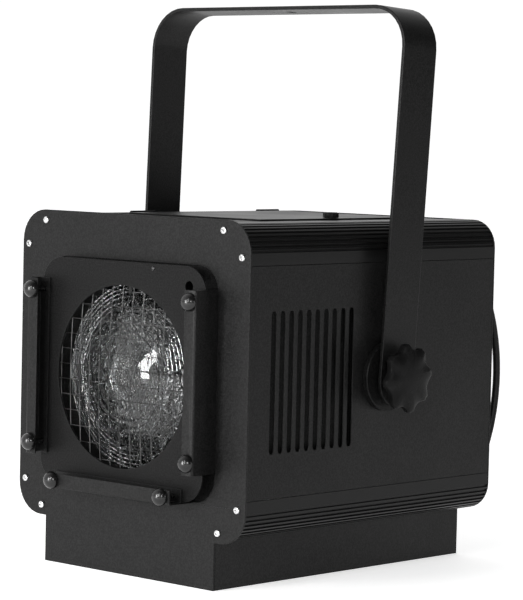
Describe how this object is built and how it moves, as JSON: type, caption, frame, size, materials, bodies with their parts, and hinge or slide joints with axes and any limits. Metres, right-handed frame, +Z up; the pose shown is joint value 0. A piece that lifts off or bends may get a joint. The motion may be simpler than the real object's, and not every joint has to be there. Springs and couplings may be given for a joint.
{
  "type": "fresnel spotlight",
  "caption": "Large black theatre spotlight with a stepped round lens behind a wire guard, colour frame runners, ribbed corners, a tall U yoke with lobed clamp knobs and a box base.",
  "frame": {"origin": "centre of the underside of the base tray", "axes": "-Y the way the lens faces, +X on the right seen from the front, +Z up"},
  "size_m": [0.4, 0.4691, 0.5955],
  "materials": {
    "powder_coat": "satin black powder coat, very finely grained",
    "ribbed_extrusion": "satin black coated aluminium extrusion with lengthwise grooves",
    "black_bolt": "glossy black dome nuts and hinge barrels",
    "black_plastic": "moulded black plastic, half gloss",
    "bright_zinc": "bright zinc-plated steel",
    "plated_steel": "dull plated sheet steel",
    "guard_wire": "plain steel wire, dull grey",
    "lens_glass": "clear borosilicate, stepped front, stippled back",
    "lamp_glass": "clear quartz",
    "lamp_ceramic": "unglazed white ceramic",
    "reflector_aluminium": "polished, slightly hammered"
  },
  "bodies": {
    "housing": {"base_tray": "powder_coat", "bottom_panel": "powder_coat", "cable_gland": "black_plastic", "corner_extrusion_bottom_left": "ribbed_extrusion", "corner_extrusion_bottom_right": "ribbed_extrusion", "corner_extrusion_top_left": "ribbed_extrusion", "corner_extrusion_top_right": "ribbed_extrusion", "fresnel_lens": "lens_glass", "friction_disc_left": "black_plastic", "friction_disc_right": "black_plastic", "front_plate": "powder_coat", "guide_rod_left": "bright_zinc", "guide_rod_right": "bright_zinc", "hatch_hinge_front": "black_bolt", "hatch_hinge_rear": "black_bolt", "lens_holder": "powder_coat", "lens_plate": "powder_coat", "pivot_bolt_left": "bright_zinc", "pivot_bolt_right": "bright_zinc", "pivot_bracket_left": "plated_steel", "pivot_bracket_right": "plated_steel", "plate_screw_bottom_left_1": "bright_zinc", "plate_screw_bottom_left_2": "bright_zinc", "plate_screw_bottom_right_1": "bright_zinc", "plate_screw_bottom_right_2": "bright_zinc", "plate_screw_top_left_1": "bright_zinc", "plate_screw_top_left_2": "bright_zinc", "plate_screw_top_right_1": "bright_zinc", "plate_screw_top_right_2": "bright_zinc", "rear_handle_left": "powder_coat", "rear_handle_right": "powder_coat", "rear_plate": "powder_coat", "rod_bracket_front": "plated_steel", "rod_bracket_rear": "plated_steel", "runner_bolt_bottom_left": "black_bolt", "runner_bolt_bottom_right": "black_bolt", "runner_bolt_left_lower": "black_bolt", "runner_bolt_left_upper": "black_bolt", "runner_bolt_right_lower": "black_bolt", "runner_bolt_right_upper": "black_bolt", "runner_bottom": "powder_coat", "runner_left": "powder_coat", "runner_right": "powder_coat", "side_panel_left": "powder_coat", "side_panel_right": "powder_coat", "top_panel": "powder_coat", "vent_baffle_left": "powder_coat", "vent_baffle_right": "powder_coat", "wire_guard": "guard_wire"},
    "yoke_frame": {"yoke": "powder_coat"},
    "right_clamp_knob": {"clamp_knob_right": "black_plastic"},
    "left_clamp_knob": {"clamp_knob_left": "black_plastic"},
    "hatch": {"top_hatch": "powder_coat"},
    "hatch_thumbscrew": {"hatch_screw": "black_plastic"},
    "focus_carriage": {"focus_sled": "plated_steel", "lamp_holder": "lamp_ceramic", "lamp": "lamp_glass", "reflector": "reflector_aluminium"},
    "focus_drive": {"focus_screw": "bright_zinc", "focus_knob": "black_plastic"}
  },
  "joints": [
    {"name": "yoke_tilt", "type": "hinge", "parent": "housing", "child": "yoke_frame", "pos_m": [0, 0.0195, 0.209], "axis": [1, 0, 0], "range_deg": [-114, 120]},
    {"name": "clamp_knob_right_turn", "type": "hinge", "parent": "yoke_frame", "child": "right_clamp_knob", "pos_m": [0.19, 0.0195, 0.209], "axis": [1, 0, 0], "range_deg": [0, 720]},
    {"name": "clamp_knob_left_turn", "type": "hinge", "parent": "yoke_frame", "child": "left_clamp_knob", "pos_m": [-0.19, 0.0195, 0.209], "axis": [-1, 0, 0], "range_deg": [0, 720]},
    {"name": "top_hatch_hinge", "type": "hinge", "parent": "housing", "child": "hatch", "pos_m": [-0.1186, 0.0355, 0.3704], "axis": [0, -1, 0], "range_deg": [0, 100]},
    {"name": "hatch_screw_turn", "type": "hinge", "parent": "hatch", "child": "hatch_thumbscrew", "pos_m": [0.0675, 0.0355, 0.3706], "axis": [0, 0, 1], "range_deg": [0, 1080]},
    {"name": "focus_screw_turn", "type": "hinge", "parent": "housing", "child": "focus_drive", "pos_m": [0, 0.19, 0.066], "axis": [0, 1, 0], "range_deg": [-2500, 4650]},
    {"name": "focus_carriage_slide", "type": "slide", "parent": "housing", "child": "focus_carriage", "axis": [0, -1, 0], "range_m": [-0.069, 0.129]}
  ],
  "couplings": [
    {"joint": "focus_screw_turn", "follows": "focus_carriage_slide", "rad_per_m": 628.32}
  ]
}
